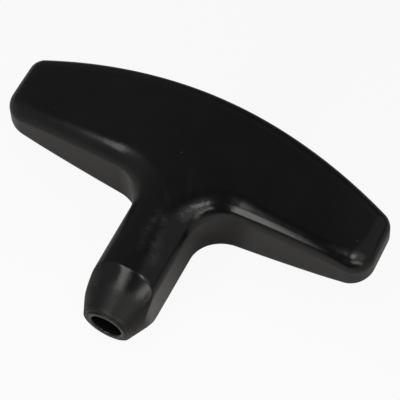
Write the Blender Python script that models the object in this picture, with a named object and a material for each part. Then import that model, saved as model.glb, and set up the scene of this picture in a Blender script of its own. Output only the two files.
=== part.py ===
"""Pull grip of a recoil starter: a T-shaped moulded grip, a rope bush in its nose,
a washer for the rope's knot and a plug that closes the knot chamber.

Metres, +Z up. The grip lies on its back with its front face up. +X runs across the
arms, +Y towards the palm side, and the rope leaves the nose towards -Y. The origin
is under the middle of the grip, on the surface that it lies on.
"""

import math

import bmesh
import bpy
from mathutils import Matrix, Vector
from mathutils.geometry import delaunay_2d_cdt

# Driving dimensions, in metres

# Gap left between pieces that touch
CLEARANCE = 0.0003

# Outline of the grip, seen from the front
GRIP_LENGTH = 0.0601        # palm crest to the outer face of the nose bush
PALM_SPAN = 0.0943          # across the palm corners, before rounding
PALM_RISE = 0.0084          # palm crest above the palm corners
PALM_CORNER_R = 0.0038
FINGER_SPAN = 0.0955        # across the finger corners, before rounding
FINGER_DROP = 0.0242        # palm crest to the finger corners
FINGER_CORNER_R = 0.0056
ROOT_DROP = 0.0265          # palm crest to the finger edges where they reach the stem
STEM_FILLET_R = 0.0081
STEM_WIDTH = 0.0156

# Section of the grip
GRIP_DEPTH = 0.0218
END_TAPER = 0.0055          # the front and the back each fall by this towards the arm ends
TAPER_POWER = 1.7           # 1 would be a straight slope, 2 a parabola
TAPER_FLAT = 0.0040         # width of the middle that doesn't fall
ARM_EDGE_R = 0.0037
CROWN_FLAT = 0.0010         # width of the flat strip along the stem's front and back
CROWN_DROP = 0.0055         # fall of the stem's crown from that strip to the flat sides

# Conical nose
NOSE_TIP_R = 0.00595
NOSE_HALF_ANGLE = math.radians(25.2)

# Rope bush
ROPE_HOLE_R = 0.0038
BUSH_WALL = 0.0010
BUSH_SLEEVE = 0.0140        # length of the sleeve behind the flange
FLANGE_THICKNESS = 0.0010
EDGE_BREAK = 0.0003         # chamfer on the edges of the turned pieces

# Knot chamber and its washer
CHAMBER_R = 0.0056
CHAMBER_DEPTH = 0.0200      # palm crest to the chamber floor
WASHER_THICKNESS = 0.0012
WASHER_HOLE_R = 0.0032

# Palm plug
CAP_R = 0.0062
CAP_THICKNESS = 0.0016
CAP_SINK = 0.0002           # the cap's face lies this far below the palm crest
SKIRT_LENGTH = 0.0050
SKIRT_WALL = 0.0012

# Fineness of the facets
PALM_STEPS = 13
CORNER_STEPS = 5
END_STEPS = 3
FINGER_STEPS = 9
FILLET_STEPS = 7
STEM_STEPS = 3
EDGE_STEPS = 7
TURN_STEPS = 40

# Places that follow from the dimensions
CREST_Y = GRIP_LENGTH / 2
BUSH_FACE_Y = -GRIP_LENGTH / 2
AXIS_Z = GRIP_DEPTH / 2
NOSE_END_Y = BUSH_FACE_Y + FLANGE_THICKNESS + CLEARANCE
NOSE_SLOPE = math.tan(NOSE_HALF_ANGLE)
SEAT_R = ROPE_HOLE_R + BUSH_WALL + CLEARANCE
SEAT_FLOOR_Y = NOSE_END_Y + BUSH_SLEEVE
CHAMBER_FLOOR_Y = CREST_Y - CHAMBER_DEPTH
CAP_FACE_Y = CREST_Y - CAP_SINK
CAP_SEAT_Y = CAP_FACE_Y - CAP_THICKNESS - CLEARANCE
CUT_PAST = 0.002            # how far a cutter runs past the face that it opens


def clear_scene():
    for item in list(bpy.data.objects):
        bpy.data.objects.remove(item, do_unlink=True)


def plastic(name, colour, roughness):
    return finish(name, colour, roughness, 0.0)


def finish(name, colour, roughness, metallic):
    material = bpy.data.materials.new(name)
    material.use_nodes = True
    shader = material.node_tree.nodes["Principled BSDF"]
    shader.inputs["Base Color"].default_value = (*colour, 1.0)
    shader.inputs["Roughness"].default_value = roughness
    shader.inputs["Metallic"].default_value = metallic
    return material


def mesh_object(name, bm, material, parent, location=(0, 0, 0)):
    """Turns a bmesh into a named object, smooth where its facets meet at a low angle."""
    bmesh.ops.recalc_face_normals(bm, faces=bm.faces)
    mesh = bpy.data.meshes.new(name)
    bm.to_mesh(mesh)
    bm.free()
    mesh.shade_smooth()
    mesh.set_sharp_from_angle(angle=math.radians(35))
    if material:
        mesh.materials.append(material)
    item = bpy.data.objects.new(name, mesh)
    bpy.context.scene.collection.objects.link(item)
    item.location = location
    item.parent = parent
    return item


def turned(name, profile, material, parent, place_y):
    """A solid turned about the rope axis. The profile is a loop of (along, radius)
    pairs, counted along the axis from place_y."""
    bm = bmesh.new()
    ring = [bm.verts.new((radius, along, 0)) for along, radius in profile]
    edges = []
    for first, second in zip(ring, ring[1:] + ring[:1]):
        on_axis = first.co.x == 0 and second.co.x == 0
        if not on_axis:
            edges.append(bm.edges.new((first, second)))
    bmesh.ops.spin(bm, geom=ring + edges, cent=(0, 0, 0), axis=(0, 1, 0),
                   angle=math.tau, steps=TURN_STEPS, use_merge=True)
    bmesh.ops.remove_doubles(bm, verts=bm.verts, dist=1e-7)
    return mesh_object(name, bm, material, parent, (0, place_y, AXIS_Z))


def cut(target, cutter, operation):
    """Shapes the target with a hidden cutter."""
    cutter.hide_render = True
    cutter.display_type = "WIRE"
    modifier = target.modifiers.new(cutter.name, "BOOLEAN")
    modifier.operation = operation
    modifier.object = cutter


def round_corner(before, corner, after, radius, steps):
    """Points of the arc that rounds a corner, from its first tangent to its second."""
    towards_before = (before - corner).normalized()
    towards_after = (after - corner).normalized()
    half = towards_before.angle(towards_after) / 2
    centre = corner + (towards_before + towards_after).normalized() * radius / math.sin(half)
    spoke = corner + towards_before * radius / math.tan(half) - centre
    last = corner + towards_after * radius / math.tan(half) - centre
    turn = -spoke.angle_signed(last)
    return [centre + Matrix.Rotation(turn * i / steps, 2) @ spoke for i in range(steps + 1)]


def stretch(first, last, steps):
    """Points between two ends, without the ends."""
    return [first.lerp(last, i / steps) for i in range(1, steps)]


def half_outline():
    """The right half of the outline, from the palm crest round to the nose, as points
    with the width and the drop of the rounded edge there."""
    palm_corner = Vector((PALM_SPAN / 2, CREST_Y - PALM_RISE))
    finger_corner = Vector((FINGER_SPAN / 2, CREST_Y - FINGER_DROP))
    root = Vector((STEM_WIDTH / 2, CREST_Y - ROOT_DROP))
    nose = Vector((STEM_WIDTH / 2, NOSE_END_Y))

    palm_r = (palm_corner.x ** 2 + PALM_RISE ** 2) / (2 * PALM_RISE)
    palm_centre = Vector((0, CREST_Y - palm_r))
    spoke = palm_corner - palm_centre
    along_palm = Vector((-spoke.y, spoke.x))
    before_palm = palm_corner + along_palm
    palm_round = round_corner(before_palm, palm_corner, finger_corner, PALM_CORNER_R, CORNER_STEPS)
    finger_round = round_corner(palm_corner, finger_corner, root, FINGER_CORNER_R, CORNER_STEPS)
    fillet = round_corner(finger_corner, root, nose, STEM_FILLET_R, FILLET_STEPS)

    sweep = math.asin(palm_round[0].x / palm_r)
    palm = []
    for i in range(PALM_STEPS):
        angle = sweep * i / PALM_STEPS
        palm.append(palm_centre + palm_r * Vector((math.sin(angle), math.cos(angle))))

    arm = palm + palm_round + stretch(palm_round[-1], finger_round[0], END_STEPS) + finger_round
    arm += stretch(finger_round[-1], fillet[0], FINGER_STEPS)
    stem = stretch(fillet[-1], nose, STEM_STEPS) + [nose]
    arm_edge = Vector((ARM_EDGE_R, ARM_EDGE_R))
    stem_edge = Vector(((STEM_WIDTH - CROWN_FLAT) / 2, CROWN_DROP))
    outline = [(point, arm_edge) for point in arm]
    for i, point in enumerate(fillet):
        share = i / (len(fillet) - 1)
        outline.append((point, arm_edge.lerp(stem_edge, share ** 2 * (3 - 2 * share))))
    outline += [(point, stem_edge) for point in stem]
    return outline


def outward_normals(points):
    """Unit normals to the right half of the outline, which runs clockwise."""
    normals = []
    for i, point in enumerate(points):
        before = points[max(i - 1, 0)]
        after = points[min(i + 1, len(points) - 1)]
        along = (after - before).normalized()
        normals.append(Vector((-along.y, along.x)))
    normals[0] = Vector((0, 1))
    return normals


def taper(x):
    """How far the front and the back have fallen at this distance from the middle."""
    share = (2 * abs(x) - TAPER_FLAT) / (FINGER_SPAN - TAPER_FLAT)
    return END_TAPER * max(share, 0.0) ** TAPER_POWER


def front(x):
    return GRIP_DEPTH - taper(x)


def back(x):
    return taper(x)


def grip_rows():
    """Rows of points round the grip: over the front edge, down the wall and round the
    back edge, which are quarter ellipses. Each row runs from the nose up the left side
    and down the right side."""
    outline = half_outline()
    points = [point for point, _ in outline]
    normals = outward_normals(points)
    stations = []
    for (point, edge), normal in zip(outline, normals):
        stations.append((point, normal, edge))
    mirrored = []
    for point, normal, edge in reversed(stations[1:]):
        mirrored.append((Vector((-point.x, point.y)), Vector((-normal.x, normal.y)), edge))
    stations = mirrored + stations

    turns = [math.pi / 2 * i / EDGE_STEPS for i in range(EDGE_STEPS + 1)]
    rows = []
    for turn in reversed(turns):
        row = []
        for point, normal, (width, drop) in stations:
            inner = point - normal * width * (1 - math.cos(turn))
            row.append((inner.x, inner.y, front(inner.x) - drop * (1 - math.sin(turn))))
        rows.append(row)
    for turn in turns:
        row = []
        for point, normal, (width, drop) in stations:
            inner = point - normal * width * (1 - math.cos(turn))
            row.append((inner.x, inner.y, back(inner.x) + drop * (1 - math.sin(turn))))
        rows.append(row)
    return rows


def arm_midline(row):
    """Points along the middle of both arms, half way between palm and finger edge."""
    middle = len(row) // 2
    finger_y = CREST_Y - (FINGER_DROP + ROOT_DROP) / 2 + ARM_EDGE_R
    midline = []
    for x, y, _ in row[middle + 2:middle + PALM_STEPS]:
        mid_y = (y + finger_y) / 2
        midline += [Vector((x, mid_y)), Vector((-x, mid_y))]
    return midline


def cap_faces(bm, ring, height):
    """Fills the front or the back with triangles that follow its taper."""
    flat = [vert.co.xy for vert in ring]
    extra = arm_midline([tuple(vert.co) for vert in ring])
    points, _, faces, *_ = delaunay_2d_cdt(flat + extra, [], [list(range(len(flat)))], 1, 1e-7)
    verts = list(ring)
    for point in points[len(ring):]:
        verts.append(bm.verts.new((point.x, point.y, height(point.x))))
    for face in faces:
        bm.faces.new([verts[i] for i in face])


def make_grip_body(material, parent):
    """The moulding: rows joined into walls, closed by the front, the back and the nose
    end, then cut to the cone and bored for the rope, the knot and the plug."""
    bm = bmesh.new()
    rows = [[bm.verts.new(point) for point in row] for row in grip_rows()]
    for upper, lower in zip(rows, rows[1:]):
        for i in range(len(upper) - 1):
            bm.faces.new((upper[i], upper[i + 1], lower[i + 1], lower[i]))
    cap_faces(bm, rows[0], front)
    cap_faces(bm, rows[-1], back)
    bm.faces.new([row[0] for row in rows] + [row[-1] for row in reversed(rows)])
    grip = mesh_object("grip_body", bm, material, parent)
    cut(grip, make_nose_cone(parent), "INTERSECT")
    cut(grip, make_rope_way(parent), "DIFFERENCE")
    return grip


def make_nose_cone(parent):
    """Keeps what lies inside the cone at the nose, and all of the grip behind it."""
    stem_reach = math.hypot(STEM_WIDTH / 2, GRIP_DEPTH / 2)
    cone_length = (stem_reach - NOSE_TIP_R) / NOSE_SLOPE
    start = -CUT_PAST
    wide = FINGER_SPAN + GRIP_LENGTH
    profile = [
        (start, 0),
        (start, NOSE_TIP_R + start * NOSE_SLOPE),
        (cone_length, stem_reach),
        (cone_length, wide),
        (GRIP_LENGTH + CUT_PAST, wide),
        (GRIP_LENGTH + CUT_PAST, 0),
    ]
    return turned("nose_cone", profile, None, parent, BUSH_FACE_Y)


def make_rope_way(parent):
    """The stepped bore: bush seat, rope bore, knot chamber and cap seat."""
    profile = [
        (BUSH_FACE_Y - CUT_PAST, 0),
        (BUSH_FACE_Y - CUT_PAST, SEAT_R),
        (SEAT_FLOOR_Y, SEAT_R),
        (SEAT_FLOOR_Y, ROPE_HOLE_R),
        (CHAMBER_FLOOR_Y, ROPE_HOLE_R),
        (CHAMBER_FLOOR_Y, CHAMBER_R),
        (CAP_SEAT_Y, CHAMBER_R),
        (CAP_SEAT_Y, CAP_R + CLEARANCE),
        (CREST_Y + CUT_PAST, CAP_R + CLEARANCE),
        (CREST_Y + CUT_PAST, 0),
    ]
    return turned("rope_way", profile, None, parent, 0)


def make_nose_bush(material, parent):
    """A flanged sleeve. Its flange carries the cone on to the end of the nose."""
    sleeve_r = ROPE_HOLE_R + BUSH_WALL
    sleeve_end = FLANGE_THICKNESS + BUSH_SLEEVE
    flange_r = NOSE_TIP_R + FLANGE_THICKNESS * NOSE_SLOPE
    profile = [
        (0, ROPE_HOLE_R + EDGE_BREAK),
        (0, NOSE_TIP_R - EDGE_BREAK),
        (EDGE_BREAK, NOSE_TIP_R + EDGE_BREAK * NOSE_SLOPE),
        (FLANGE_THICKNESS, flange_r),
        (FLANGE_THICKNESS, sleeve_r),
        (sleeve_end - EDGE_BREAK, sleeve_r),
        (sleeve_end, sleeve_r - EDGE_BREAK),
        (sleeve_end, ROPE_HOLE_R),
        (EDGE_BREAK, ROPE_HOLE_R),
    ]
    return turned("nose_bush", profile, material, parent, BUSH_FACE_Y)


def make_knot_washer(material, parent):
    outer_r = CHAMBER_R - CLEARANCE
    profile = [
        (0, WASHER_HOLE_R),
        (0, outer_r - EDGE_BREAK),
        (EDGE_BREAK, outer_r),
        (WASHER_THICKNESS - EDGE_BREAK, outer_r),
        (WASHER_THICKNESS, outer_r - EDGE_BREAK),
        (WASHER_THICKNESS, WASHER_HOLE_R),
    ]
    return turned("knot_washer", profile, material, parent, CHAMBER_FLOOR_Y + CLEARANCE)


def make_palm_plug(material, parent):
    """A cap with a hollow skirt that grips the wall of the knot chamber."""
    skirt_r = CHAMBER_R - CLEARANCE
    skirt_end = -CAP_THICKNESS - SKIRT_LENGTH
    profile = [
        (0, 0),
        (0, CAP_R - EDGE_BREAK),
        (-EDGE_BREAK, CAP_R),
        (-CAP_THICKNESS, CAP_R),
        (-CAP_THICKNESS, skirt_r),
        (skirt_end + EDGE_BREAK, skirt_r),
        (skirt_end, skirt_r - EDGE_BREAK),
        (skirt_end, skirt_r - SKIRT_WALL),
        (-CAP_THICKNESS, skirt_r - SKIRT_WALL),
        (-CAP_THICKNESS, 0),
    ]
    return turned("palm_plug", profile, material, parent, CAP_FACE_Y)


def main():
    clear_scene()
    root = bpy.data.objects.new("pull_grip", None)
    bpy.context.scene.collection.objects.link(root)
    make_grip_body(plastic("grip_black", (0.010, 0.010, 0.010), 0.28), root)
    make_nose_bush(plastic("bush_black", (0.016, 0.016, 0.016), 0.30), root)
    make_knot_washer(finish("washer_steel", (0.56, 0.57, 0.58), 0.35, 1.0), root)
    make_palm_plug(plastic("plug_black", (0.012, 0.012, 0.012), 0.40), root)


main()
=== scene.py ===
"""Looks of the pull grip of a recoil starter: the finished surfaces of its four pieces,
their materials, and a plain studio with the camera at the viewing angle of the photo.

Metres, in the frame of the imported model: +X across the arms, +Y to the palm side, +Z
out of the front face. The rope axis runs along Y.
"""

import math

import bmesh
import bpy
import numpy as np
from mathutils import Matrix, Vector


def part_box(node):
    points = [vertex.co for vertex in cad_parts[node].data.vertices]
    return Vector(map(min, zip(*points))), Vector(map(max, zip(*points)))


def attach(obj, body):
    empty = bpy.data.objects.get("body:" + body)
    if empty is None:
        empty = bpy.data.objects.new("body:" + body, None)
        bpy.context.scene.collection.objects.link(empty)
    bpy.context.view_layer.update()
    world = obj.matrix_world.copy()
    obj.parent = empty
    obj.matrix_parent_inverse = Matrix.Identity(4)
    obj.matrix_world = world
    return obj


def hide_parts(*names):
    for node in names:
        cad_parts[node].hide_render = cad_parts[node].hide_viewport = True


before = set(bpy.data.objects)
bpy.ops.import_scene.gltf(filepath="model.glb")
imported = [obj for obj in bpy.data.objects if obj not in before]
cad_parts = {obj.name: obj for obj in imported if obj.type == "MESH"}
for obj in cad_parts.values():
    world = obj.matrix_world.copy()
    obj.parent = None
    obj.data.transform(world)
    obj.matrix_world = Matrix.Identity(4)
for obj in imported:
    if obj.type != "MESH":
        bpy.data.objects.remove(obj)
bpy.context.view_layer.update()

# Sizes read from the frame
GRIP_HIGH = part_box("grip_body")[1]
BUSH_LOW, BUSH_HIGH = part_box("nose_bush")
WASHER_LOW, WASHER_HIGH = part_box("knot_washer")
PLUG_LOW, PLUG_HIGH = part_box("palm_plug")
CREST_Y = GRIP_HIGH.y
GRIP_DEPTH = GRIP_HIGH.z
AXIS_Z = GRIP_DEPTH / 2
BUSH_FACE_Y = BUSH_LOW.y

# Outline of the grip
PALM_SPAN = 0.0943
PALM_RISE = 0.0084
PALM_CORNER_R = 0.0038
FINGER_SPAN = 0.0955
FINGER_DROP = 0.0242
FINGER_CORNER_R = 0.0056
ROOT_DROP = 0.0265
STEM_FILLET_R = 0.0081
STEM_WIDTH = 0.0156

# Section of the grip
END_TAPER = 0.0055
TAPER_POWER = 1.7
TAPER_FLAT = 0.0040
ARM_EDGE_R = 0.0037
CORNER_EDGE_WIDTH = 0.0048  # the rounding of an arm widens to this at its finger corner
CORNER_REACH = 0.25         # share of the finger side over which that dies away
NECK_EDGE_WIDTH = 0.0056    # and to this where the arm meets the stem
CROWN_FLAT = 0.0010
CROWN_DROP = 0.0055
CROWN_WIDTH = (STEM_WIDTH - CROWN_FLAT) / 2

# Conical nose
NOSE_TIP_R = 0.00595
NOSE_SLOPE = math.tan(math.radians(25.2))
ARC_SOFTNESS = 0.00016      # how far the edge between stem and cone is rounded
ARC_ZONE = 0.0008           # length along the stem that gets the fine rows of that edge
NOSE_DULL_START_Y = -0.0195 # the nose is rubbed dull from about here
NOSE_DULL_END_Y = -0.0231   # and fully so from here to its end
NOSE_DULL_RAGGED = 0.006    # how far that wanders along the nose

# Dull marks on the front: two ends, half the width, and strength
FLOW_MARKS = [
    ((-0.0001, -0.0034), (-0.0002, -0.0108), 0.0010, 0.65),
    ((-0.0002, -0.0108), (0.0003, -0.0132), 0.0010, 0.7),
    ((0.0018, -0.0041), (0.0031, -0.0109), 0.0011, 0.8),
    ((0.0031, -0.0109), (0.0041, -0.0147), 0.0013, 1.0),
    ((-0.0029, 0.0038), (0.0011, -0.0014), 0.0005, 0.3),
    ((0.0008, 0.0100), (0.0045, 0.0019), 0.0005, 0.2),
    ((0.0045, -0.0012), (0.0075, 0.0026), 0.0012, 0.45),
]
GRAIN_MARKS = [((0.0050, -0.0012), (0.0080, 0.0026), 0.0016, 1.0)]

# Rope way
ROPE_HOLE_R = 0.0038
ROPE_HOLE_RIM = 0.00042     # rounding of its edge
ROPE_RUB = (0.0003, 0.0009) # how far from the hole the rope's polish starts to go and is gone
BUSH_WALL = 0.0010
FLANGE_THICKNESS = 0.0010
BUSH_SEAM = 0.00002         # the fine line between the flange and the cone
RING_R = 0.0051             # outside of the flat ring round the rope hole
RING_RISE = 0.0003          # how far the ring stands out
RING_GROOVE = 0.0001        # how far the step round it lies back
RING_STEP = 0.0001          # how much wider the step is at its foot
FLANGE_LIP = 0.00012        # how far the flange's rim stands above the step
CLEARANCE = 0.0003
SEAT_R = ROPE_HOLE_R + BUSH_WALL + CLEARANCE
SEAT_FLOOR_Y = BUSH_HIGH.y + CLEARANCE
NOSE_END_Y = BUSH_FACE_Y + FLANGE_THICKNESS + BUSH_SEAM
WASHER_HOLE_R = 0.0032
CHAMBER_R = WASHER_HIGH.x + CLEARANCE
CHAMBER_FLOOR_Y = WASHER_LOW.y - CLEARANCE
CAP_R = PLUG_HIGH.x
CAP_THICKNESS = 0.0016
CAP_SEAT_R = CAP_R + CLEARANCE
CAP_SEAT_Y = PLUG_HIGH.y - CAP_THICKNESS - CLEARANCE
CAP_SEAT_RIM = 0.0003       # rounding of the edge of the cap seat
CAP_DOME = 0.0003           # how far the cap falls from its middle to its rim
SKIRT_WALL = 0.0012
GATE_R = 0.0009             # dimple where the plug's plastic was let in
GATE_DEPTH = 0.00015
GATE_SLOPE = 0.0002         # how much wider the dimple is at the top
NOTCH_DEPTH = 0.0007        # where a blade lifts the cap
NOTCH_TURN = 0.16           # half its width, in radians
RIB_COUNT = 6               # ribs on the skirt that the chamber squeezes
RIB_RISE = 0.00015
RIB_GAP = 0.0002            # from the cap to the start of a rib
RIB_RUN_IN = 0.0006         # over which a rib comes to its height
RIB_POWER = 12              # how narrow a rib is
PALM_PATCH_X = 0.0090       # half the width of the palm wall that holds the cap seat

# Fineness of the meshes
CHORD_STEPS = 16
EDGE_STEPS = 24
WALL_STEPS = 14
PATCH_STEPS = CHORD_STEPS + EDGE_STEPS
PALM_STEPS = 60
PALM_CORNER_STEPS = 16
END_STEPS = 14
FINGER_CORNER_STEPS = 20
FINGER_STEPS = 60
FILLET_STEPS = 34
STEM_STEPS = 90
ARC_STEPS = 16
CONE_STEPS = 24
PATCH_RINGS = 8
RIM_STEPS = 5
TURN_STEPS = 128
BUSH_SIDE = 0.0008          # longest side in the profile of a turned piece
WASHER_SIDE = 0.0004
PLUG_SIDE = 0.0004
SAME_PLACE = 1e-7           # points nearer than this are one
HARD_EDGE = math.radians(32)

# Camera, for a square picture
VIEW_AZIMUTH = math.radians(30.5)
VIEW_ELEVATION = math.radians(63.5)
VIEW_ROLL = math.radians(-3.05)
VIEW_DISTANCE = 0.668
VIEW_CENTRE = Vector((0.0, 0.00979, AXIS_Z))
VIEW_OFFSET = (0.00272, -0.00324)   # right and up, in the picture plane
LENS = 258.6
SENSOR = 36.0

# Studio
LAMP_DISTANCE = 1.2
LAMP_COLOUR = (1.0, 0.985, 0.955)
FLOOR_REACH = 2.0
FLOOR_COLOUR = (1.0, 0.98, 0.945)
# The floor's tone is graded with painted shade behind the palm and beside the stem, and painted light
# before the nose; these show in the grip's reflections and faintly to the camera.
FLOOR_TONE = 0.39
FLOOR_BACK_PAINTED_SHADE = 0.06      # painted shade on the floor behind the palm, where the grip would shade it
FLOOR_BACK_PAINTED_SHADE_Y = (-0.025, 0.11)
FLOOR_MIDDLE_PAINTED_SHADE = 0.21    # painted shade on the floor beside the stem, on the right, where the arm would shade it
FLOOR_MIDDLE_PAINTED_SHADE_Y = (-0.03, 0.012)
FLOOR_MIDDLE_PAINTED_SHADE_X = (0.006, 0.014, 0.006)  # the painted shade's middle, and how far from there it starts and is full
FLOOR_FRONT_PAINTED_LIGHT = 0.56     # painted light on the floor before the nose
FLOOR_FRONT_PAINTED_LIGHT_Y = (0.005, -0.03)
FLOOR_FRONT_PAINTED_LIGHT_X = (0.025, 0.07, 0.02)
FLOOR_GLOW = 0.93           # how much of the floor is plain white to the camera
FLOOR_GLOSS_SHARE = 0.02    # how much of that shows in gloss

# Room: brightness before the nose and behind the palm, and the part of a direction over
# which the one goes over to the other
ROOM_LEFT = (0.31, 0.155)
ROOM_LEFT_Y = (-0.5, 0.3)
ROOM_MIDDLE = (0.05, 0.145)
ROOM_MIDDLE_Y = (0.1, 0.55)
ROOM_RIGHT = (0.06, 0.29)
ROOM_RIGHT_Y = (-0.5, 0.0)
LEFT_TO_MIDDLE_X = (-0.46, -0.16)
MIDDLE_TO_RIGHT_X = (0.12, 0.40)
ROOM_BACK_Y = (0.80, 0.98)
ROOM_BACK_SHARE = 0.5       # what is left of the brightness straight behind the palm
HORIZON = 0.42              # brightness low down before the nose
HORIZON_Z = (0.40, 0.05)
HORIZON_Y = (0.3, -0.3)
HORIZON_X = (0.25, 0.0)
HORIZON_RIGHT_SHARE = 0.3   # what is left of it on the right

# Lamps: name, direction, direction of the length, length and width in shares of the
# distance, brightness, shape, and whether gloss shows it
LAMPS = [
    ("left_panel", (-0.250, -0.25, 0.93), (0.17, -0.985, 0.0), 0.71, 0.43, 2.8, "ELLIPSE", True),
    ("front_panel", (-0.020, -0.75, 0.66), (0.09, -0.66, -0.75), 0.58, 0.20, 3.85, "RECTANGLE", True),
    ("right_panel", (0.70, -0.14, 0.70), (0.0, 1.0, 0.0), 0.65, 0.82, 0.50, "RECTANGLE", True),
    ("right_core", (0.50, -0.22, 0.84), (0.0, 1.0, 0.2), 0.32, 0.20, 4.0, "RECTANGLE", True),
    ("low_panel", (0.70, -0.50, 0.51), (0.72, 0.55, -0.42), 0.48, 0.18, 2.8, "RECTANGLE", True),
    ("low_end", (0.89, -0.32, 0.24), (-0.3, 0.2, 1.0), 0.28, 0.20, 1.4, "RECTANGLE", True),
    ("fill_panel", (0.0, 0.1, 1.0), (1.0, 0.0, 0.0), 1.6, 1.6, 0.84, "RECTANGLE", False),
]


# Outline

def turn_of(normal):
    """Angle of a plane direction, counted from +Y towards +X."""
    return math.atan2(normal[0], normal[1])


def smooth_step(share):
    """A share from 0 to 1 that starts and ends level."""
    return share ** 2 * (3 - 2 * share)


def directions(first, last, steps):
    """Unit directions that turn evenly from one angle to another."""
    angle = np.linspace(first, last, steps + 1)
    return np.stack([np.sin(angle), np.cos(angle)], axis=1)


def outline_stretches():
    """The right half of the outline, palm crest to nose, as stretches of points and
    outward normals. A convex arc is centre + radius * normal, the concave one at the
    stem is centre - radius * normal, and the rest are straight lines."""
    palm_corner = np.array([PALM_SPAN / 2, CREST_Y - PALM_RISE])
    finger_corner = np.array([FINGER_SPAN / 2, CREST_Y - FINGER_DROP])
    root = np.array([STEM_WIDTH / 2, CREST_Y - ROOT_DROP])
    nose = np.array([STEM_WIDTH / 2, NOSE_END_Y])

    def side(first, last):
        along = (last - first) / np.linalg.norm(last - first)
        return along, np.array([-along[1], along[0]])

    end_along, end_out = side(palm_corner, finger_corner)
    _, finger_out = side(finger_corner, root)
    _, stem_out = side(root, nose)

    palm_r = (palm_corner[0] ** 2 + PALM_RISE ** 2) / (2 * PALM_RISE)
    palm_centre = np.array([0.0, CREST_Y - palm_r])
    reach = palm_corner - end_out * PALM_CORNER_R - palm_centre
    half = reach @ end_along
    slide = -half - math.sqrt(half ** 2 - reach @ reach + (palm_r - PALM_CORNER_R) ** 2)
    corner_centre = palm_centre + reach + end_along * slide
    finger_centre = finger_corner - FINGER_CORNER_R * (end_out + finger_out) / (1 + end_out @ finger_out)
    fillet_centre = root + STEM_FILLET_R * (finger_out + stem_out) / (1 + finger_out @ stem_out)

    patch_turn = math.asin(PALM_PATCH_X / palm_r)
    corner_turn = turn_of(corner_centre - palm_centre)
    middle = directions(0.0, patch_turn, PATCH_STEPS)
    palm = directions(patch_turn, corner_turn, PALM_STEPS)
    palm_round = directions(corner_turn, turn_of(end_out), PALM_CORNER_STEPS)
    finger_round = directions(turn_of(end_out), turn_of(finger_out), FINGER_CORNER_STEPS)
    fillet = directions(turn_of(finger_out), turn_of(stem_out), FILLET_STEPS)

    def straight(first, last, out, steps):
        share = np.linspace(0, 1, steps + 1)[:, None]
        return first + (last - first) * share, np.tile(out, (steps + 1, 1))

    middle_points = palm_centre + palm_r * middle
    palm_points = palm_centre + palm_r * palm
    palm_round_points = corner_centre + PALM_CORNER_R * palm_round
    finger_round_points = finger_centre + FINGER_CORNER_R * finger_round
    fillet_points = fillet_centre - STEM_FILLET_R * fillet
    return {
        "middle": (middle_points, middle),
        "palm": (palm_points, palm),
        "palm_round": (palm_round_points, palm_round),
        "end": straight(palm_round_points[-1], finger_round_points[0], end_out, END_STEPS),
        "finger_round": (finger_round_points, finger_round),
        "finger": straight(finger_round_points[-1], fillet_points[0], finger_out, FINGER_STEPS),
        "fillet": (fillet_points, fillet),
        "nose": (nose[None], stem_out[None]),
    }


def joined_outline():
    """The stretches joined, without repeated ends, with the width and depth of the
    rounding at each point. The width grows as a cube along the end, falls back as a square
    beside the finger corner and grows as a square along the finger side, and width and
    depth go over to those of the stem's crown by a smooth step over the fillet."""
    joined = []
    for name, (place, out) in outline_stretches().items():
        skip = 0 if name in ("middle", "nose") else 1
        run = np.linspace(0, 1, len(place))
        widened = {"finger": run ** 2, "fillet": 1.0, "nose": 1.0}.get(name, 0.0)
        beside = np.maximum(1 - run / CORNER_REACH, 0) ** 2
        cornered = {"end": run ** 3, "finger_round": 1.0, "finger": beside}.get(name, 0.0)
        crowned = {"fillet": smooth_step(run), "nose": 1.0}.get(name, 0.0)
        width = ARM_EDGE_R + (NECK_EDGE_WIDTH - ARM_EDGE_R) * widened
        width = width + (CORNER_EDGE_WIDTH - ARM_EDGE_R) * cornered
        width = width + (CROWN_WIDTH - width) * crowned
        depth = ARM_EDGE_R + (CROWN_DROP - ARM_EDGE_R) * crowned
        sizes = np.stack([np.zeros(len(place)) + width, np.zeros(len(place)) + depth], axis=1)
        joined.append(np.concatenate([place, out, sizes], axis=1)[skip:])
    return np.split(np.concatenate(joined), [2, 4, 5], axis=1)


# Surface of the grip

def taper(x):
    """How far the front and the back have fallen at a distance from the middle: a power
    of the share of the half span, and nothing on the flat in the middle."""
    share = (2 * np.abs(x) - TAPER_FLAT) / (FINGER_SPAN - TAPER_FLAT)
    return END_TAPER * np.maximum(share, 0.0) ** TAPER_POWER


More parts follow.
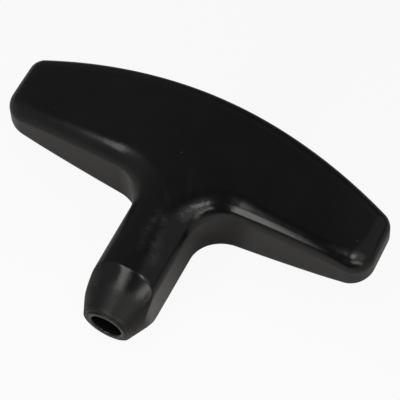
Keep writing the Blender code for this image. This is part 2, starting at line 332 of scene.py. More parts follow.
def grip_sections():
    """Sections of the right half of the grip as an array (station, column, xyz). A
    column runs from the front spine along a chord to the edge, over the quarter ellipse
    of the edge, down the wall, and the same way back along the back. Front and back
    stand at the depth less the taper and at the taper of their own x."""
    points, normals, width, depth = joined_outline()
    turn = np.linspace(math.pi / 2, 0, EDGE_STEPS + 1)
    inset = width * (1 - np.cos(turn))
    drop = depth * (1 - np.sin(turn))
    edge_x = points[:, :1] - normals[:, :1] * inset
    edge_y = points[:, 1:] - normals[:, 1:] * inset
    edge_front = GRIP_DEPTH - taper(edge_x) - drop
    edge_back = taper(edge_x) + drop

    arm_end = len(points) - FILLET_STEPS - 2
    travel = np.concatenate([[0], np.cumsum(np.linalg.norm(np.diff(points, axis=0), axis=1))])
    spine_y = edge_y[:, 0].copy()
    share = np.minimum(travel / travel[arm_end], 1.0)
    spine_y[:arm_end] = (spine_y[0] + (spine_y[arm_end] - spine_y[0]) * share)[:arm_end]

    run = np.linspace(0, 1, CHORD_STEPS + 1)[:-1]
    chord_x = edge_x[:, :1] * run
    chord_y = spine_y[:, None] + (edge_y[:, :1] - spine_y[:, None]) * run
    chord_front = GRIP_DEPTH - taper(chord_x)
    chord_back = taper(chord_x)

    fall = np.linspace(0, 1, WALL_STEPS + 1)[1:-1]
    wall_x = np.repeat(points[:, :1], len(fall), axis=1)
    wall_y = np.repeat(points[:, 1:], len(fall), axis=1)
    wall_z = edge_front[:, -1:] + (edge_back[:, -1:] - edge_front[:, -1:]) * fall

    x = np.concatenate([chord_x, edge_x, wall_x, edge_x[:, ::-1], chord_x[:, ::-1]], axis=1)
    y = np.concatenate([chord_y, edge_y, wall_y, edge_y[:, ::-1], chord_y[:, ::-1]], axis=1)
    z = np.concatenate([chord_front, edge_front, wall_z, edge_back[:, ::-1], chord_back[:, ::-1]], axis=1)
    return np.stack([x, y, z], axis=2)


def nose_rows(fillet_end, nose_end):
    """Rows from the end of the fillet to the nose. A point lies on the straight stem,
    drawn in towards the rope axis to the soft minimum of its own reach and the cone's
    radius. One row follows the arc where stem and cone meet, with fine rows round it."""
    slope = (nose_end - fillet_end) / (nose_end[:, 1:2] - fillet_end[:, 1:2])

    def stem_at(y):
        return fillet_end + slope * (y - fillet_end[:, 1])[..., None]

    arc_y = np.full(len(fillet_end), NOSE_END_Y)
    for _ in range(3):
        stem = stem_at(arc_y)
        reach = np.hypot(stem[..., 0], stem[..., 2] - AXIS_Z)
        arc_y = BUSH_FACE_Y + (reach - NOSE_TIP_R) / NOSE_SLOPE

    def spread(first, last, steps):
        return first + (last - first) * np.linspace(0, 1, steps + 1)[1:, None]

    y = np.concatenate([
        spread(fillet_end[:, 1], arc_y + ARC_ZONE, STEM_STEPS),
        spread(arc_y + ARC_ZONE, arc_y - ARC_ZONE, ARC_STEPS),
        spread(arc_y - ARC_ZONE, np.full_like(arc_y, NOSE_END_Y), CONE_STEPS),
    ])
    stem = stem_at(y)
    reach = np.hypot(stem[..., 0], stem[..., 2] - AXIS_Z)
    cone = NOSE_TIP_R + NOSE_SLOPE * (y - BUSH_FACE_Y)
    soft = (reach + cone - np.sqrt((reach - cone) ** 2 + ARC_SOFTNESS ** 2)) / 2
    share = soft / reach
    return np.stack([stem[..., 0] * share, y, AXIS_Z + (stem[..., 2] - AXIS_Z) * share], axis=2)


def grip_half():
    """The right half of the outer surface, as an array (row, column, xyz)."""
    sections = grip_sections()
    return np.concatenate([sections[:-1], nose_rows(sections[-2], sections[-1])])


def rubbed_share(rows, columns):
    """How much each point of the half is rubbed in use: most in the middle of the rounded
    edges of the arms and along the arc of the nose, as a hump from 0 to 1."""
    column = np.arange(columns)
    from_face = np.minimum(column, columns - 1 - column) - CHORD_STEPS
    hump = np.sin(math.pi * np.clip(from_face / EDGE_STEPS, 0, 1)) ** 2
    row = np.arange(rows)
    stem_start = rows - STEM_STEPS - ARC_STEPS - CONE_STEPS - FILLET_STEPS
    arm = smooth_step(np.clip((stem_start - row) / FINGER_STEPS, 0, 1))
    from_arc = row - (rows - 1 - CONE_STEPS - ARC_STEPS / 2)
    arc = np.exp(-(from_arc / (ARC_STEPS / 4)) ** 2)
    return np.maximum(arm[:, None] * hump, arc[:, None]).ravel()


def mark_share(points, marks):
    """How strong the marks are at each point of the front: a hump across each of the lines
    that the plastic left where the stem's flow met the arms', by the distance to it."""
    place = points[:, :2]
    share = np.zeros(len(points))
    for first, last, width, strength in marks:
        first = np.array(first)
        along = np.array(last) - first
        run = np.clip((place - first) @ along / (along @ along), 0, 1)
        reach = np.linalg.norm(place - first - run[:, None] * along, axis=1)
        share = np.maximum(share, strength * np.exp(-(reach / width) ** 2))
    return share * (points[:, 2] > AXIS_Z)


def full_ring(half_ring):
    """A half ring from the top to the bottom, carried on over the left side."""
    mirrored = half_ring[-2:0:-1] * np.array([-1.0, 1.0, 1.0])
    return np.concatenate([half_ring, mirrored])


def ring_turns(ring):
    """Angle of each point about the rope axis, counted from the top, rising all round."""
    return np.mod(np.arctan2(ring[:, 0], ring[:, 2] - AXIS_Z), math.tau)


def palm_y(x):
    """Height of the palm arc at a distance from the middle."""
    half = PALM_SPAN / 2
    palm_r = (half ** 2 + PALM_RISE ** 2) / (2 * PALM_RISE)
    return CREST_Y - palm_r + np.sqrt(palm_r ** 2 - x ** 2)


def rope_way_rows(half):
    """Rings from the palm wall through the grip to the nose. The first is the border of
    the palm patch, which runs to the round rim of the cap seat. The rest are circles of
    the stepped bore, whose angles go over from those of the patch to those of the nose."""
    front_edge = PATCH_STEPS
    back_edge = PATCH_STEPS + WALL_STEPS
    top = half[:PATCH_STEPS + 1, front_edge]
    side = half[PATCH_STEPS, front_edge + 1:back_edge]
    bottom = half[PATCH_STEPS::-1, back_edge]
    border = full_ring(np.concatenate([top, side, bottom]))
    nose = full_ring(half[-1])
    palm_turns = ring_turns(border)
    nose_turns = ring_turns(nose)

    rim_r = CAP_SEAT_R + CAP_SEAT_RIM
    circle_x = rim_r * np.sin(palm_turns)
    circle_z = AXIS_Z + rim_r * np.cos(palm_turns)
    share = np.linspace(0, 1, PATCH_RINGS + 1)[:, None]
    patch_x = border[:, 0] + (circle_x - border[:, 0]) * share
    patch_z = border[:, 2] + (circle_z - border[:, 2]) * share
    patch = np.stack([patch_x, palm_y(patch_x), patch_z], axis=2)

    bend = np.linspace(0, math.pi / 2, RIM_STEPS + 1)[1:, None]
    rim_reach = CAP_SEAT_R + CAP_SEAT_RIM * (1 - np.sin(bend))
    rim_x = rim_reach * np.sin(palm_turns)
    rim_y = palm_y(rim_x) - CAP_SEAT_RIM * (1 - np.cos(bend))
    rim = np.stack([rim_x, rim_y, AXIS_Z + rim_reach * np.cos(palm_turns)], axis=2)

    stops = [
        (CAP_SEAT_Y, CAP_SEAT_R, 4),
        (CAP_SEAT_Y, CHAMBER_R, 3),
        (CHAMBER_FLOOR_Y, CHAMBER_R, 12),
        (CHAMBER_FLOOR_Y, ROPE_HOLE_R, 4),
        (SEAT_FLOOR_Y, ROPE_HOLE_R, 6),
        (SEAT_FLOOR_Y, SEAT_R, 3),
        (NOSE_END_Y, SEAT_R, 10),
    ]
    places = []
    before = (CREST_Y - 2 * CAP_SEAT_RIM, CAP_SEAT_R)
    for y, radius, steps in stops:
        run = np.linspace(0, 1, steps + 1)[1:, None]
        places.append(np.array(before) + (np.array([y, radius]) - before) * run)
        before = (y, radius)
    places = np.concatenate(places)
    through = (CREST_Y - places[:, :1]) / (CREST_Y - NOSE_END_Y)
    turns = palm_turns + (nose_turns - palm_turns) * through
    bore_y = np.repeat(places[:, :1], len(border), axis=1)
    bore_x = places[:, 1:] * np.sin(turns)
    bore_z = AXIS_Z + places[:, 1:] * np.cos(turns)
    bore = np.stack([bore_x, bore_y, bore_z], axis=2)
    return np.concatenate([patch, rim, bore, nose[None]])


def grid_faces(rows, columns, start=0, wrap=False):
    """Corner numbers of the quads of a grid, row by row."""
    number = np.arange(rows * columns).reshape(rows, columns) + start
    if wrap:
        number = np.concatenate([number, number[:, :1]], axis=1)
    corners = [number[:-1, :-1], number[:-1, 1:], number[1:, 1:], number[1:, :-1]]
    return np.stack(corners, axis=2)


def new_piece(name, points, faces, material, body, node, slot, **shares):
    """A mesh from arrays of points and quads, with its doubles merged, its faces turned
    outwards and its hard edges kept, which rides on a body in place of a CAD node. The
    shares are attributes of its points for the material to read."""
    mesh = bpy.data.meshes.new(name)
    mesh.from_pydata(points.reshape(-1, 3), [], faces.reshape(-1, 4).tolist())
    for share, values in shares.items():
        mesh.attributes.new(share, "FLOAT", "POINT").data.foreach_set("value", values)
    bm = bmesh.new()
    bm.from_mesh(mesh)
    bmesh.ops.remove_doubles(bm, verts=bm.verts, dist=SAME_PLACE)
    bmesh.ops.recalc_face_normals(bm, faces=bm.faces)
    bm.to_mesh(mesh)
    bm.free()
    mesh.shade_smooth()
    mesh.set_sharp_from_angle(angle=HARD_EDGE)
    mesh.materials.append(material)
    piece = bpy.data.objects.new(name, mesh)
    bpy.context.scene.collection.objects.link(piece)
    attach(piece, body)
    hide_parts(node)
    return piece


def make_grip(material):
    """The moulding: the right half of its outer surface, the same mirrored, and the
    rope way, which joins the palm wall to the nose."""
    right = grip_half()
    left = right * np.array([-1.0, 1.0, 1.0])
    way = rope_way_rows(right)
    rows, columns = right.shape[:2]
    keep = np.ones((rows - 1, columns - 1), bool)
    keep[:PATCH_STEPS, PATCH_STEPS:PATCH_STEPS + WALL_STEPS] = False
    right_faces = grid_faces(rows, columns)[keep]
    left_faces = grid_faces(rows, columns, rows * columns)[keep][:, ::-1]
    way_faces = grid_faces(*way.shape[:2], 2 * rows * columns, wrap=True)
    points = np.concatenate([part.reshape(-1, 3) for part in (right, left, way)])
    faces = np.concatenate([part.reshape(-1, 4) for part in (right_faces, left_faces, way_faces)])
    half_rub = rubbed_share(rows, columns)
    rub = np.concatenate([half_rub, half_rub, np.zeros(way[..., 0].size)])
    return new_piece("grip_moulding", points, faces, material, "grip", "grip_body", "grip_black", rub=rub,
                     marks=mark_share(points, FLOW_MARKS), grain=mark_share(points, GRAIN_MARKS))


# Turned pieces

def rounded_profile(corners, steps=6):
    """A closed profile of (along, radius) corners, each with the radius that rounds it:
    an arc tangent to the two sides that meet there, or the bare corner at radius 0."""
    places = np.array([corner[:2] for corner in corners])
    profile = []
    for i, (_, _, rounding) in enumerate(corners):
        here = places[i]
        back = places[i - 1] - here
        on = places[(i + 1) % len(places)] - here
        back = back / np.linalg.norm(back)
        on = on / np.linalg.norm(on)
        if rounding == 0:
            profile.append(here[None])
            continue
        half = math.acos(np.clip(back @ on, -1, 1)) / 2
        middle = (back + on) / np.linalg.norm(back + on)
        sweep = np.linspace(-1, 1, steps + 1)[:, None] * (math.pi / 2 - half)
        across = (on - back) / np.linalg.norm(on - back)
        centre = here + middle * rounding / math.sin(half)
        profile.append(centre + rounding * (across * np.sin(sweep) - middle * np.cos(sweep)))
    return np.concatenate(profile)


def subdivided(profile, longest):
    """The same profile with points added so that no side is longer than this."""
    ends = np.concatenate([profile[1:], profile[:1]])
    pieces = []
    for first, last in zip(profile, ends):
        count = max(1, math.ceil(np.linalg.norm(last - first) / longest))
        pieces.append(first + (last - first) * np.linspace(0, 1, count + 1)[:-1, None])
    return np.concatenate(pieces)


def turned_surface(profile, reach=None):
    """A closed profile of (along, radius) points carried round the rope axis, as an
    array (turn, point, xyz). A reach, where there is one, gives the radius of every point
    at every turn from its place along the axis, its radius and the turn."""
    turn = np.linspace(0, math.tau, TURN_STEPS, endpoint=False)[:, None]
    along = np.repeat(profile[None, :, 0], TURN_STEPS, axis=0)
    radius = np.repeat(profile[None, :, 1], TURN_STEPS, axis=0)
    if reach:
        radius = reach(along, radius, turn)
    return np.stack([radius * np.sin(turn), along, AXIS_Z + radius * np.cos(turn)], axis=2)


def turned_faces(surface):
    """Quads of a surface that closes on itself both ways, without those on the axis."""
    turns, count = surface.shape[:2]
    number = np.arange(turns * count).reshape(turns, count)
    next_turn = np.roll(number, -1, axis=0)
    next_point = np.roll(number, -1, axis=1)
    both = np.roll(next_turn, -1, axis=1)
    reach = np.linalg.norm(np.ptp(surface, axis=0), axis=1)
    wide = np.maximum(reach, np.roll(reach, -1)) > 10 * SAME_PLACE
    return np.stack([number, next_turn, both, next_point], axis=2)[:, wide]


def make_bush(material):
    """The rope bush: a flange that carries the cone on to the end of the nose, with a
    flat ring round the hole, a step and a rounded edge, and a sleeve behind it."""
    sleeve_r = ROPE_HOLE_R + BUSH_WALL
    back_y = BUSH_FACE_Y + FLANGE_THICKNESS
    face_y = BUSH_FACE_Y - RING_RISE
    step_y = BUSH_FACE_Y + RING_GROOVE
    corners = [
        (face_y, ROPE_HOLE_R, ROPE_HOLE_RIM),
        (face_y, RING_R, 0.00012),
        (step_y, RING_R + RING_STEP, 0.00008),
        (step_y - FLANGE_LIP, NOSE_TIP_R, 0.00020),
        (back_y, NOSE_TIP_R + FLANGE_THICKNESS * NOSE_SLOPE, 0.00002),
        (back_y, sleeve_r, 0),
        (BUSH_HIGH.y, sleeve_r, 0.0004),
        (BUSH_HIGH.y, ROPE_HOLE_R, 0.0003),
    ]
    surface = turned_surface(subdivided(rounded_profile(corners), BUSH_SIDE))
    return new_piece("rope_bush", surface, turned_faces(surface), material, "grip", "nose_bush",
                     "bush_black")


def make_washer(material):
    """A stamped washer: rounded on the side where the punch went in, crisper on the other."""
    corners = [
        (WASHER_LOW.y, WASHER_HOLE_R, 0.0001),
        (WASHER_LOW.y, WASHER_HIGH.x, 0.0001),
        (WASHER_HIGH.y, WASHER_HIGH.x, 0.0004),
        (WASHER_HIGH.y, WASHER_HOLE_R, 0.0003),
    ]
    surface = turned_surface(subdivided(rounded_profile(corners), WASHER_SIDE))
    return new_piece("stamped_washer", surface, turned_faces(surface), material, "washer", "knot_washer",
                     "washer_steel")


def make_plug(material):
    """The push-in plug: a hollow skirt under a cap that falls as the square of the radius.
    A dimple marks the middle of the cap, a bell curve of the turn cuts the notch into its
    rim, and high powers of a cosine of the turn raise ribs on the skirt."""
    skirt_r = CHAMBER_R - CLEARANCE
    skirt_in = skirt_r - SKIRT_WALL
    under_y = PLUG_HIGH.y - CAP_THICKNESS
    corners = [
        (PLUG_HIGH.y - GATE_DEPTH, 0.0, 0),
        (PLUG_HIGH.y - GATE_DEPTH, GATE_R, 0.0001),
        (PLUG_HIGH.y, GATE_R + GATE_SLOPE, 0.0001),
        (PLUG_HIGH.y, CAP_R, 0.0005),
        (under_y, CAP_R, 0.00015),
        (under_y, skirt_r, 0.0002),
        (PLUG_LOW.y, skirt_r, 0.0004),
        (PLUG_LOW.y, skirt_in, 0.0002),
        (under_y, skirt_in, 0.0003),
        (under_y, 0.0, 0),
    ]
    profile = subdivided(rounded_profile(corners), PLUG_SIDE)
    height = np.clip((profile[:, 0] - under_y) / CAP_THICKNESS, 0, 1)
    profile[:, 0] -= CAP_DOME * (profile[:, 1] / CAP_R) ** 2 * height

    def reach(along, radius, turn):
        rim = np.clip((radius - skirt_r) / (CAP_R - skirt_r), 0, 1)
        bell = np.exp(-((turn - math.pi) / NOTCH_TURN) ** 2)
        below = np.clip((under_y - RIB_GAP - along) / RIB_RUN_IN, 0, 1)
        outside = np.clip((radius - skirt_in) / (skirt_r - skirt_in), 0, 1)
        ribs = np.maximum(np.cos(RIB_COUNT * turn), 0) ** RIB_POWER
        return radius - NOTCH_DEPTH * rim * bell + RIB_RISE * outside * below * ribs

    surface = turned_surface(profile, reach)
    return new_piece("palm_cap", surface, turned_faces(surface), material, "plug", "palm_plug",
                     "plug_black")


# Materials

def add(tree, kind, inputs, **settings):
    """A node with its settings, whose inputs are values or the outputs that feed them."""
    node = tree.nodes.new(kind)
    for name, value in settings.items():
        setattr(node, name, value)
    for name, value in inputs.items():
        if isinstance(value, bpy.types.NodeSocket):
            tree.links.new(value, node.inputs[name])
        else:
            node.inputs[name].default_value = value
    return node


def new_finish(name, metallic=0.0):
    """An empty surface: its node tree, its shader and the place on the piece in metres."""
    material = bpy.data.materials.new(name)
    material.use_nodes = True
    tree = material.node_tree
    shader = tree.nodes["Principled BSDF"]
    shader.inputs["Metallic"].default_value = metallic
    place = add(tree, "ShaderNodeTexCoord", {}).outputs["Object"]
    return material, tree, shader, place


def noise(tree, place, scale, detail=2.0, roughness=0.5):
    """Smooth noise from 0 to 1, with this many cells to the metre."""
    inputs = {"Vector": place, "Scale": scale, "Detail": detail, "Roughness": roughness}
    return add(tree, "ShaderNodeTexNoise", inputs).outputs["Fac"]


def stretched(tree, place, scale, turn=(0.0, 0.0, 0.0)):
    """The place turned and scaled by axis, so that noise on it runs in streaks."""
    inputs = {"Vector": place, "Scale": scale, "Rotation": turn}
    return add(tree, "ShaderNodeMapping", inputs).outputs["Vector"]


def axis_distance(tree, place):
    """Distance of a place from the rope axis, in metres."""
    from_axis = add(tree, "ShaderNodeVectorMath", {0: place, 1: (0.0, 0.0, AXIS_Z)}, operation="SUBTRACT")
    across = {0: from_axis.outputs["Vector"], 1: (1.0, 0.0, 1.0)}
    flat = add(tree, "ShaderNodeVectorMath", across, operation="MULTIPLY").outputs["Vector"]
    return add(tree, "ShaderNodeVectorMath", {0: flat}, operation="LENGTH").outputs["Value"]


def ramp(tree, value, low, high, first=0.0, last=1.0):
    """A value carried from one range to another, smoothly and without going past its ends."""
    inputs = {"Value": value, "From Min": low, "From Max": high, "To Min": first, "To Max": last}
    return add(tree, "ShaderNodeMapRange", inputs, interpolation_type="SMOOTHSTEP").outputs["Result"]


def sums(tree, first, second, operation="ADD"):
    """Two values joined by a plain sum, product or other operation."""
    return add(tree, "ShaderNodeMath", {0: first, 1: second}, operation=operation).outputs["Value"]


def tint(tree, share, first, last):
    """A colour between two, by a share from 0 to 1."""
    node = add(tree, "ShaderNodeMix", {}, data_type="RGBA")
    tree.links.new(share, node.inputs[0])
    if isinstance(first, bpy.types.NodeSocket):
        tree.links.new(first, node.inputs[6])
    else:
        node.inputs[6].default_value = (*first, 1.0)
    node.inputs[7].default_value = (*last, 1.0)
    return node.outputs[2]


def relief(tree, shader, layers):
    """Bumps of (height 0 to 1, depth in metres) laid over each other on the shader."""
    normal = None
    for height, depth in layers:
        inputs = {"Height": height, "Distance": depth}
        if normal:
            inputs["Normal"] = normal
        normal = add(tree, "ShaderNodeBump", inputs).outputs["Normal"]
    tree.links.new(normal, shader.inputs["Normal"])


def grip_finish():
    """Glossy black moulding: a slow mottling of the black, gloss broken by fine scuffs and
    a few specks, the waviness of a moulded skin, dull marks on the front, rubbed edges,
    and a nose that is worn dull towards its end."""
    material, tree, shader, place = new_finish("grip_black")
    cloud = noise(tree, place, 140, 4.0, 0.55)
    skin = noise(tree, place, 1100, 2.0)
    wave = noise(tree, place, 210, 1.0)
    scuff_place = stretched(tree, place, (60, 1400, 700), (0.0, 0.0, 0.5))
    scuff = ramp(tree, noise(tree, scuff_place, 1.0, 3.0, 0.6), 0.60, 0.80)
    rub = add(tree, "ShaderNodeAttribute", {}, attribute_name="rub").outputs["Fac"]
    rub = sums(tree, rub, ramp(tree, noise(tree, place, 420, 5.0, 0.7), 0.42, 0.75), "MULTIPLY")
    marks = add(tree, "ShaderNodeAttribute", {}, attribute_name="marks").outputs["Fac"]
    dashes = noise(tree, stretched(tree, place, (300, 620, 500), (0.0, 0.0, 0.35)), 1.0, 5.0, 0.65)
    marks = sums(tree, marks, ramp(tree, dashes, 0.36, 0.66, 0.28, 1.0), "MULTIPLY")
    grain = add(tree, "ShaderNodeAttribute", {}, attribute_name="grain").outputs["Fac"]
    grain = sums(tree, noise(tree, place, 1300, 1.0), grain, "MULTIPLY")
    cell = add(tree, "ShaderNodeTexVoronoi", {"Vector": place, "Scale": 400.0}).outputs
    chosen = add(tree, "ShaderNodeSeparateColor", {"Color": cell["Color"]}).outputs["Red"]
    speck = sums(tree, ramp(tree, cell["Distance"], 0.11, 0.05), ramp(tree, chosen, 0.93, 0.94), "MULTIPLY")
    along = add(tree, "ShaderNodeSeparateXYZ", {"Vector": place}).outputs["Y"]
    wander = sums(tree, noise(tree, place, 300, 4.0, 0.6), NOSE_DULL_RAGGED, "MULTIPLY")
    tip = ramp(tree, sums(tree, along, wander), NOSE_DULL_START_Y, NOSE_DULL_END_Y)
    worn = sums(tree, tip, noise(tree, place, 900, 3.0, 0.6), "MULTIPLY")

    colour = tint(tree, cloud, (0.0017, 0.0017, 0.0018), (0.0031, 0.0031, 0.0031))
    colour = tint(tree, sums(tree, rub, 0.25, "MULTIPLY"), colour, (0.011, 0.011, 0.011))
    colour = tint(tree, marks, colour, (0.011, 0.011, 0.011))
    colour = tint(tree, worn, colour, (0.006, 0.006, 0.006))
    colour = tint(tree, speck, colour, (0.020, 0.0195, 0.019))
    tree.links.new(colour, shader.inputs["Base Color"])
    gloss = sums(tree, ramp(tree, cloud, 0.3, 0.7, 0.15, 0.20), sums(tree, scuff, 0.07, "MULTIPLY"))
    gloss = sums(tree, gloss, sums(tree, rub, 0.05, "MULTIPLY"))
    dull = sums(tree, sums(tree, marks, 0.28, "MULTIPLY"), sums(tree, tip, 0.27, "MULTIPLY"), "MAXIMUM")
    gloss = sums(tree, gloss, dull)
    tree.links.new(gloss, shader.inputs["Roughness"])
    tree.links.new(ramp(tree, tip, 0.0, 1.0, 0.5, 0.37), shader.inputs["Specular IOR Level"])
    relief(tree, shader, [(wave, 0.00002), (skin, 0.00001), (marks, 0.00002), (grain, 0.00008),
                          (speck, 0.00002), (worn, 0.00003), (scuff, 0.0000015)])
    return material


def bush_finish():
    """Black bush: dull and faintly turned on its face, polished inside and on the edge of
    the hole, where the rope rubs."""
    material, tree, shader, place = new_finish("bush_black")
    radius = axis_distance(tree, place)
    cloud = noise(tree, place, 500, 3.0)
    along = noise(tree, stretched(tree, place, (3000, 120, 3000)), 1.0, 2.0)
    rings = noise(tree, add(tree, "ShaderNodeCombineXYZ", {"X": radius}).outputs["Vector"], 9000, 1.0)
    outer = ramp(tree, radius, ROPE_HOLE_R + ROPE_RUB[0], ROPE_HOLE_R + ROPE_RUB[1])

    colour = tint(tree, cloud, (0.0046, 0.0046, 0.0047), (0.0075, 0.0075, 0.0076))
    tree.links.new(colour, shader.inputs["Base Color"])
    gloss = sums(tree, ramp(tree, cloud, 0.3, 0.7, 0.14, 0.20), sums(tree, outer, 0.22, "MULTIPLY"))
    tree.links.new(gloss, shader.inputs["Roughness"])
    tree.links.new(ramp(tree, outer, 0.0, 1.0, 0.5, 0.4), shader.inputs["Specular IOR Level"])
    relief(tree, shader, [(along, 0.000006), (rings, 0.000003), (cloud, 0.00001)])
    return material


def washer_finish():
    """Zinc-plated steel: fine rings from the stamping, stray scratches and dull patches."""
    material, tree, shader, place = new_finish("washer_steel", 1.0)
    radius = axis_distance(tree, place)
    rings = noise(tree, add(tree, "ShaderNodeCombineXYZ", {"X": radius}).outputs["Vector"], 14000, 2.0)
    patches = noise(tree, place, 700, 4.0, 0.6)
    scratch_place = stretched(tree, place, (300, 9000, 9000), (0.3, 0.9, 0.4))
    scratches = ramp(tree, noise(tree, scratch_place, 1.0, 2.0), 0.64, 0.74)
    colour = tint(tree, patches, (0.46, 0.47, 0.49), (0.66, 0.67, 0.68))
    tree.links.new(colour, shader.inputs["Base Color"])
    gloss = sums(tree, ramp(tree, patches, 0.3, 0.7, 0.24, 0.42), sums(tree, rings, 0.08, "MULTIPLY"))
    tree.links.new(gloss, shader.inputs["Roughness"])
    relief(tree, shader, [(patches, 0.000012), (rings, 0.000004), (scratches, -0.000006)])
    return material


def plug_finish():
    """Satin black moulding: a fine blasted texture, with faint cloudy patches."""
    material, tree, shader, place = new_finish("plug_black")
    cloud = noise(tree, place, 350, 4.0, 0.6)
    grain = noise(tree, place, 5200, 2.0, 0.6)
    colour = tint(tree, cloud, (0.0030, 0.0030, 0.0031), (0.0057, 0.0057, 0.0058))
    tree.links.new(colour, shader.inputs["Base Color"])
    gloss = ramp(tree, cloud, 0.3, 0.7, 0.36, 0.48)
    tree.links.new(gloss, shader.inputs["Roughness"])
    relief(tree, shader, [(grain, 0.00002), (cloud, 0.00001)])
    return material


# Studio

def make_camera():
    """The camera looks at the grip from above its nose, a little to its right."""
    azimuth = VIEW_AZIMUTH
    elevation = VIEW_ELEVATION
    back = Vector((math.sin(azimuth) * math.cos(elevation), -math.cos(azimuth) * math.cos(elevation),
                   math.sin(elevation)))
    level_right = Vector((math.cos(azimuth), math.sin(azimuth), 0))
    level_up = back.cross(level_right)
    right = level_right * math.cos(VIEW_ROLL) + level_up * math.sin(VIEW_ROLL)
    up = level_up * math.cos(VIEW_ROLL) - level_right * math.sin(VIEW_ROLL)
    data = bpy.data.cameras.new("camera")
    data.sensor_width = SENSOR
    data.sensor_height = SENSOR
    data.lens = LENS
    camera = bpy.data.objects.new("camera", data)
    bpy.context.scene.collection.objects.link(camera)
    place = VIEW_CENTRE + back * VIEW_DISTANCE + right * VIEW_OFFSET[0] + up * VIEW_OFFSET[1]
    turn = Matrix((right, up, back)).transposed().to_4x4()
    camera.matrix_world = Matrix.Translation(place) @ turn
    bpy.context.scene.camera = camera


def make_lamp(name, towards, along, length, width, brightness, shape, in_gloss):
    """A soft panel that faces the grip from a direction, with its length along another,
    in shares of its distance. Its power follows from its own brightness, where white is 1."""
    back = Vector(towards).normalized()
    side = Vector(along)
    side = (side - back * side.dot(back)).normalized()
    data = bpy.data.lights.new(name, "AREA")
    data.shape = shape
    data.size = length * LAMP_DISTANCE
    data.size_y = width * LAMP_DISTANCE
    data.energy = brightness * math.pi * data.size * data.size_y
    if shape == "ELLIPSE":
        data.energy *= math.pi / 4
    data.color = LAMP_COLOUR
    lamp = bpy.data.objects.new(name, data)
    bpy.context.scene.collection.objects.link(lamp)
    turn = Matrix((side, back.cross(side), back)).transposed().to_4x4()
    lamp.matrix_world = Matrix.Translation(VIEW_CENTRE + back * LAMP_DISTANCE) @ turn
    lamp.visible_camera = False
    lamp.visible_glossy = in_gloss


def backdrop_share(tree, gloss_share):
    """1 for what the camera sees, and a smaller share for what shows in gloss or through
    clear pieces."""
    path = add(tree, "ShaderNodeLightPath", {}).outputs
    seen_in = sums(tree, path["Is Glossy Ray"], path["Is Transmission Ray"], "MAXIMUM")
    return sums(tree, path["Is Camera Ray"], sums(tree, seen_in, gloss_share, "MULTIPLY"), "MAXIMUM")


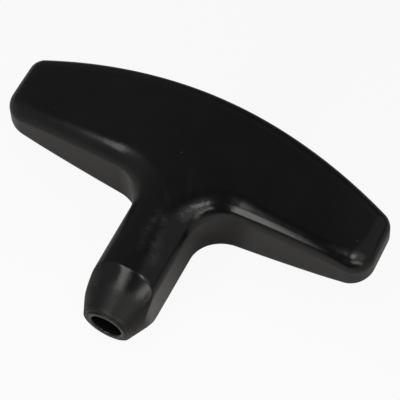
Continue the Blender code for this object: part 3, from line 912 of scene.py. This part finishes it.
def make_floor():
    """A wide floor of one face: warm grey board with painted light before the nose and painted shade behind
    the palm and beside the stem on the right, and mostly white to the camera, which leaves a faint shadow."""
    half = FLOOR_REACH
    mesh = bpy.data.meshes.new("floor")
    corners = [(-half, -half, 0), (half, -half, 0), (half, half, 0), (-half, half, 0)]
    mesh.from_pydata(corners, [], [(0, 1, 2, 3)])
    material = bpy.data.materials.new("board_painted_light_and_shade")
    material.use_nodes = True
    tree = material.node_tree
    shader = tree.nodes["Principled BSDF"]
    place = add(tree, "ShaderNodeTexCoord", {}).outputs["Object"]
    split = add(tree, "ShaderNodeSeparateXYZ", {"Vector": place}).outputs

    def painted_zone(y_range, x_range):
        centre, none, full = x_range
        away = sums(tree, sums(tree, split["X"], centre, "SUBTRACT"), 0.0, "ABSOLUTE")
        return sums(tree, ramp(tree, split["Y"], *y_range), ramp(tree, away, none, full), "MULTIPLY")

    # Painted shade beside the stem and behind the palm, and painted light before the nose, laid into the
    # floor's tone.
    middle = painted_zone(FLOOR_MIDDLE_PAINTED_SHADE_Y, FLOOR_MIDDLE_PAINTED_SHADE_X)
    front = painted_zone(FLOOR_FRONT_PAINTED_LIGHT_Y, FLOOR_FRONT_PAINTED_LIGHT_X)
    tone = ramp(tree, middle, 0.0, 1.0, FLOOR_TONE, FLOOR_MIDDLE_PAINTED_SHADE)
    tone = ramp(tree, split["Y"], *FLOOR_BACK_PAINTED_SHADE_Y, tone, FLOOR_BACK_PAINTED_SHADE)
    tone = ramp(tree, front, 0.0, 1.0, tone, FLOOR_FRONT_PAINTED_LIGHT)
    colour = add(tree, "ShaderNodeVectorMath", {0: FLOOR_COLOUR, "Scale": tone}, operation="SCALE")
    tree.links.new(colour.outputs["Vector"], shader.inputs["Base Color"])
    shader.inputs["Roughness"].default_value = 1.0
    shader.inputs["Specular IOR Level"].default_value = 0.0
    glow = add(tree, "ShaderNodeEmission", {"Color": (1.0, 1.0, 1.0, 1.0), "Strength": 1.0})
    share = sums(tree, backdrop_share(tree, FLOOR_GLOSS_SHARE), FLOOR_GLOW, "MULTIPLY")
    blend = {0: share, 1: shader.outputs["BSDF"], 2: glow.outputs["Emission"]}
    mixed = add(tree, "ShaderNodeMixShader", blend)
    tree.links.new(mixed.outputs["Shader"], tree.nodes["Material Output"].inputs["Surface"])
    mesh.materials.append(material)
    floor = bpy.data.objects.new("floor", mesh)
    bpy.context.scene.collection.objects.link(floor)


def make_world():
    """A dim room, darkest overhead, paler to the left, behind the palm on the right and low
    down before the nose, and white to the camera."""
    world = bpy.data.worlds.new("studio")
    world.use_nodes = True
    tree = world.node_tree
    towards = add(tree, "ShaderNodeTexCoord", {}).outputs["Generated"]
    split = add(tree, "ShaderNodeSeparateXYZ", {"Vector": towards}).outputs
    left = ramp(tree, split["Y"], *ROOM_LEFT_Y, *ROOM_LEFT)
    middle = ramp(tree, split["Y"], *ROOM_MIDDLE_Y, *ROOM_MIDDLE)
    right = ramp(tree, split["Y"], *ROOM_RIGHT_Y, *ROOM_RIGHT)
    level = ramp(tree, split["X"], *LEFT_TO_MIDDLE_X, left, middle)
    level = ramp(tree, split["X"], *MIDDLE_TO_RIGHT_X, level, right)
    level = sums(tree, level, ramp(tree, split["Y"], *ROOM_BACK_Y, 1.0, ROOM_BACK_SHARE), "MULTIPLY")
    camera = add(tree, "ShaderNodeLightPath", {}).outputs["Is Camera Ray"]
    low = ramp(tree, split["Z"], *HORIZON_Z, 0.0, HORIZON)
    horizon = sums(tree, low, ramp(tree, split["Y"], *HORIZON_Y), "MULTIPLY")
    horizon = sums(tree, horizon, ramp(tree, split["X"], *HORIZON_X, HORIZON_RIGHT_SHARE), "MULTIPLY")
    strength = sums(tree, sums(tree, level, horizon, "MAXIMUM"), camera, "MAXIMUM")
    tree.links.new(strength, tree.nodes["Background"].inputs["Strength"])
    tree.nodes["Background"].inputs["Color"].default_value = (1.0, 1.0, 1.0, 1.0)
    bpy.context.scene.world = world


make_grip(grip_finish())
make_bush(bush_finish())
make_washer(washer_finish())
make_plug(plug_finish())
make_camera()
make_floor()
make_world()
for lamp in LAMPS:
    make_lamp(*lamp)
bpy.context.scene.view_settings.view_transform = "Standard"
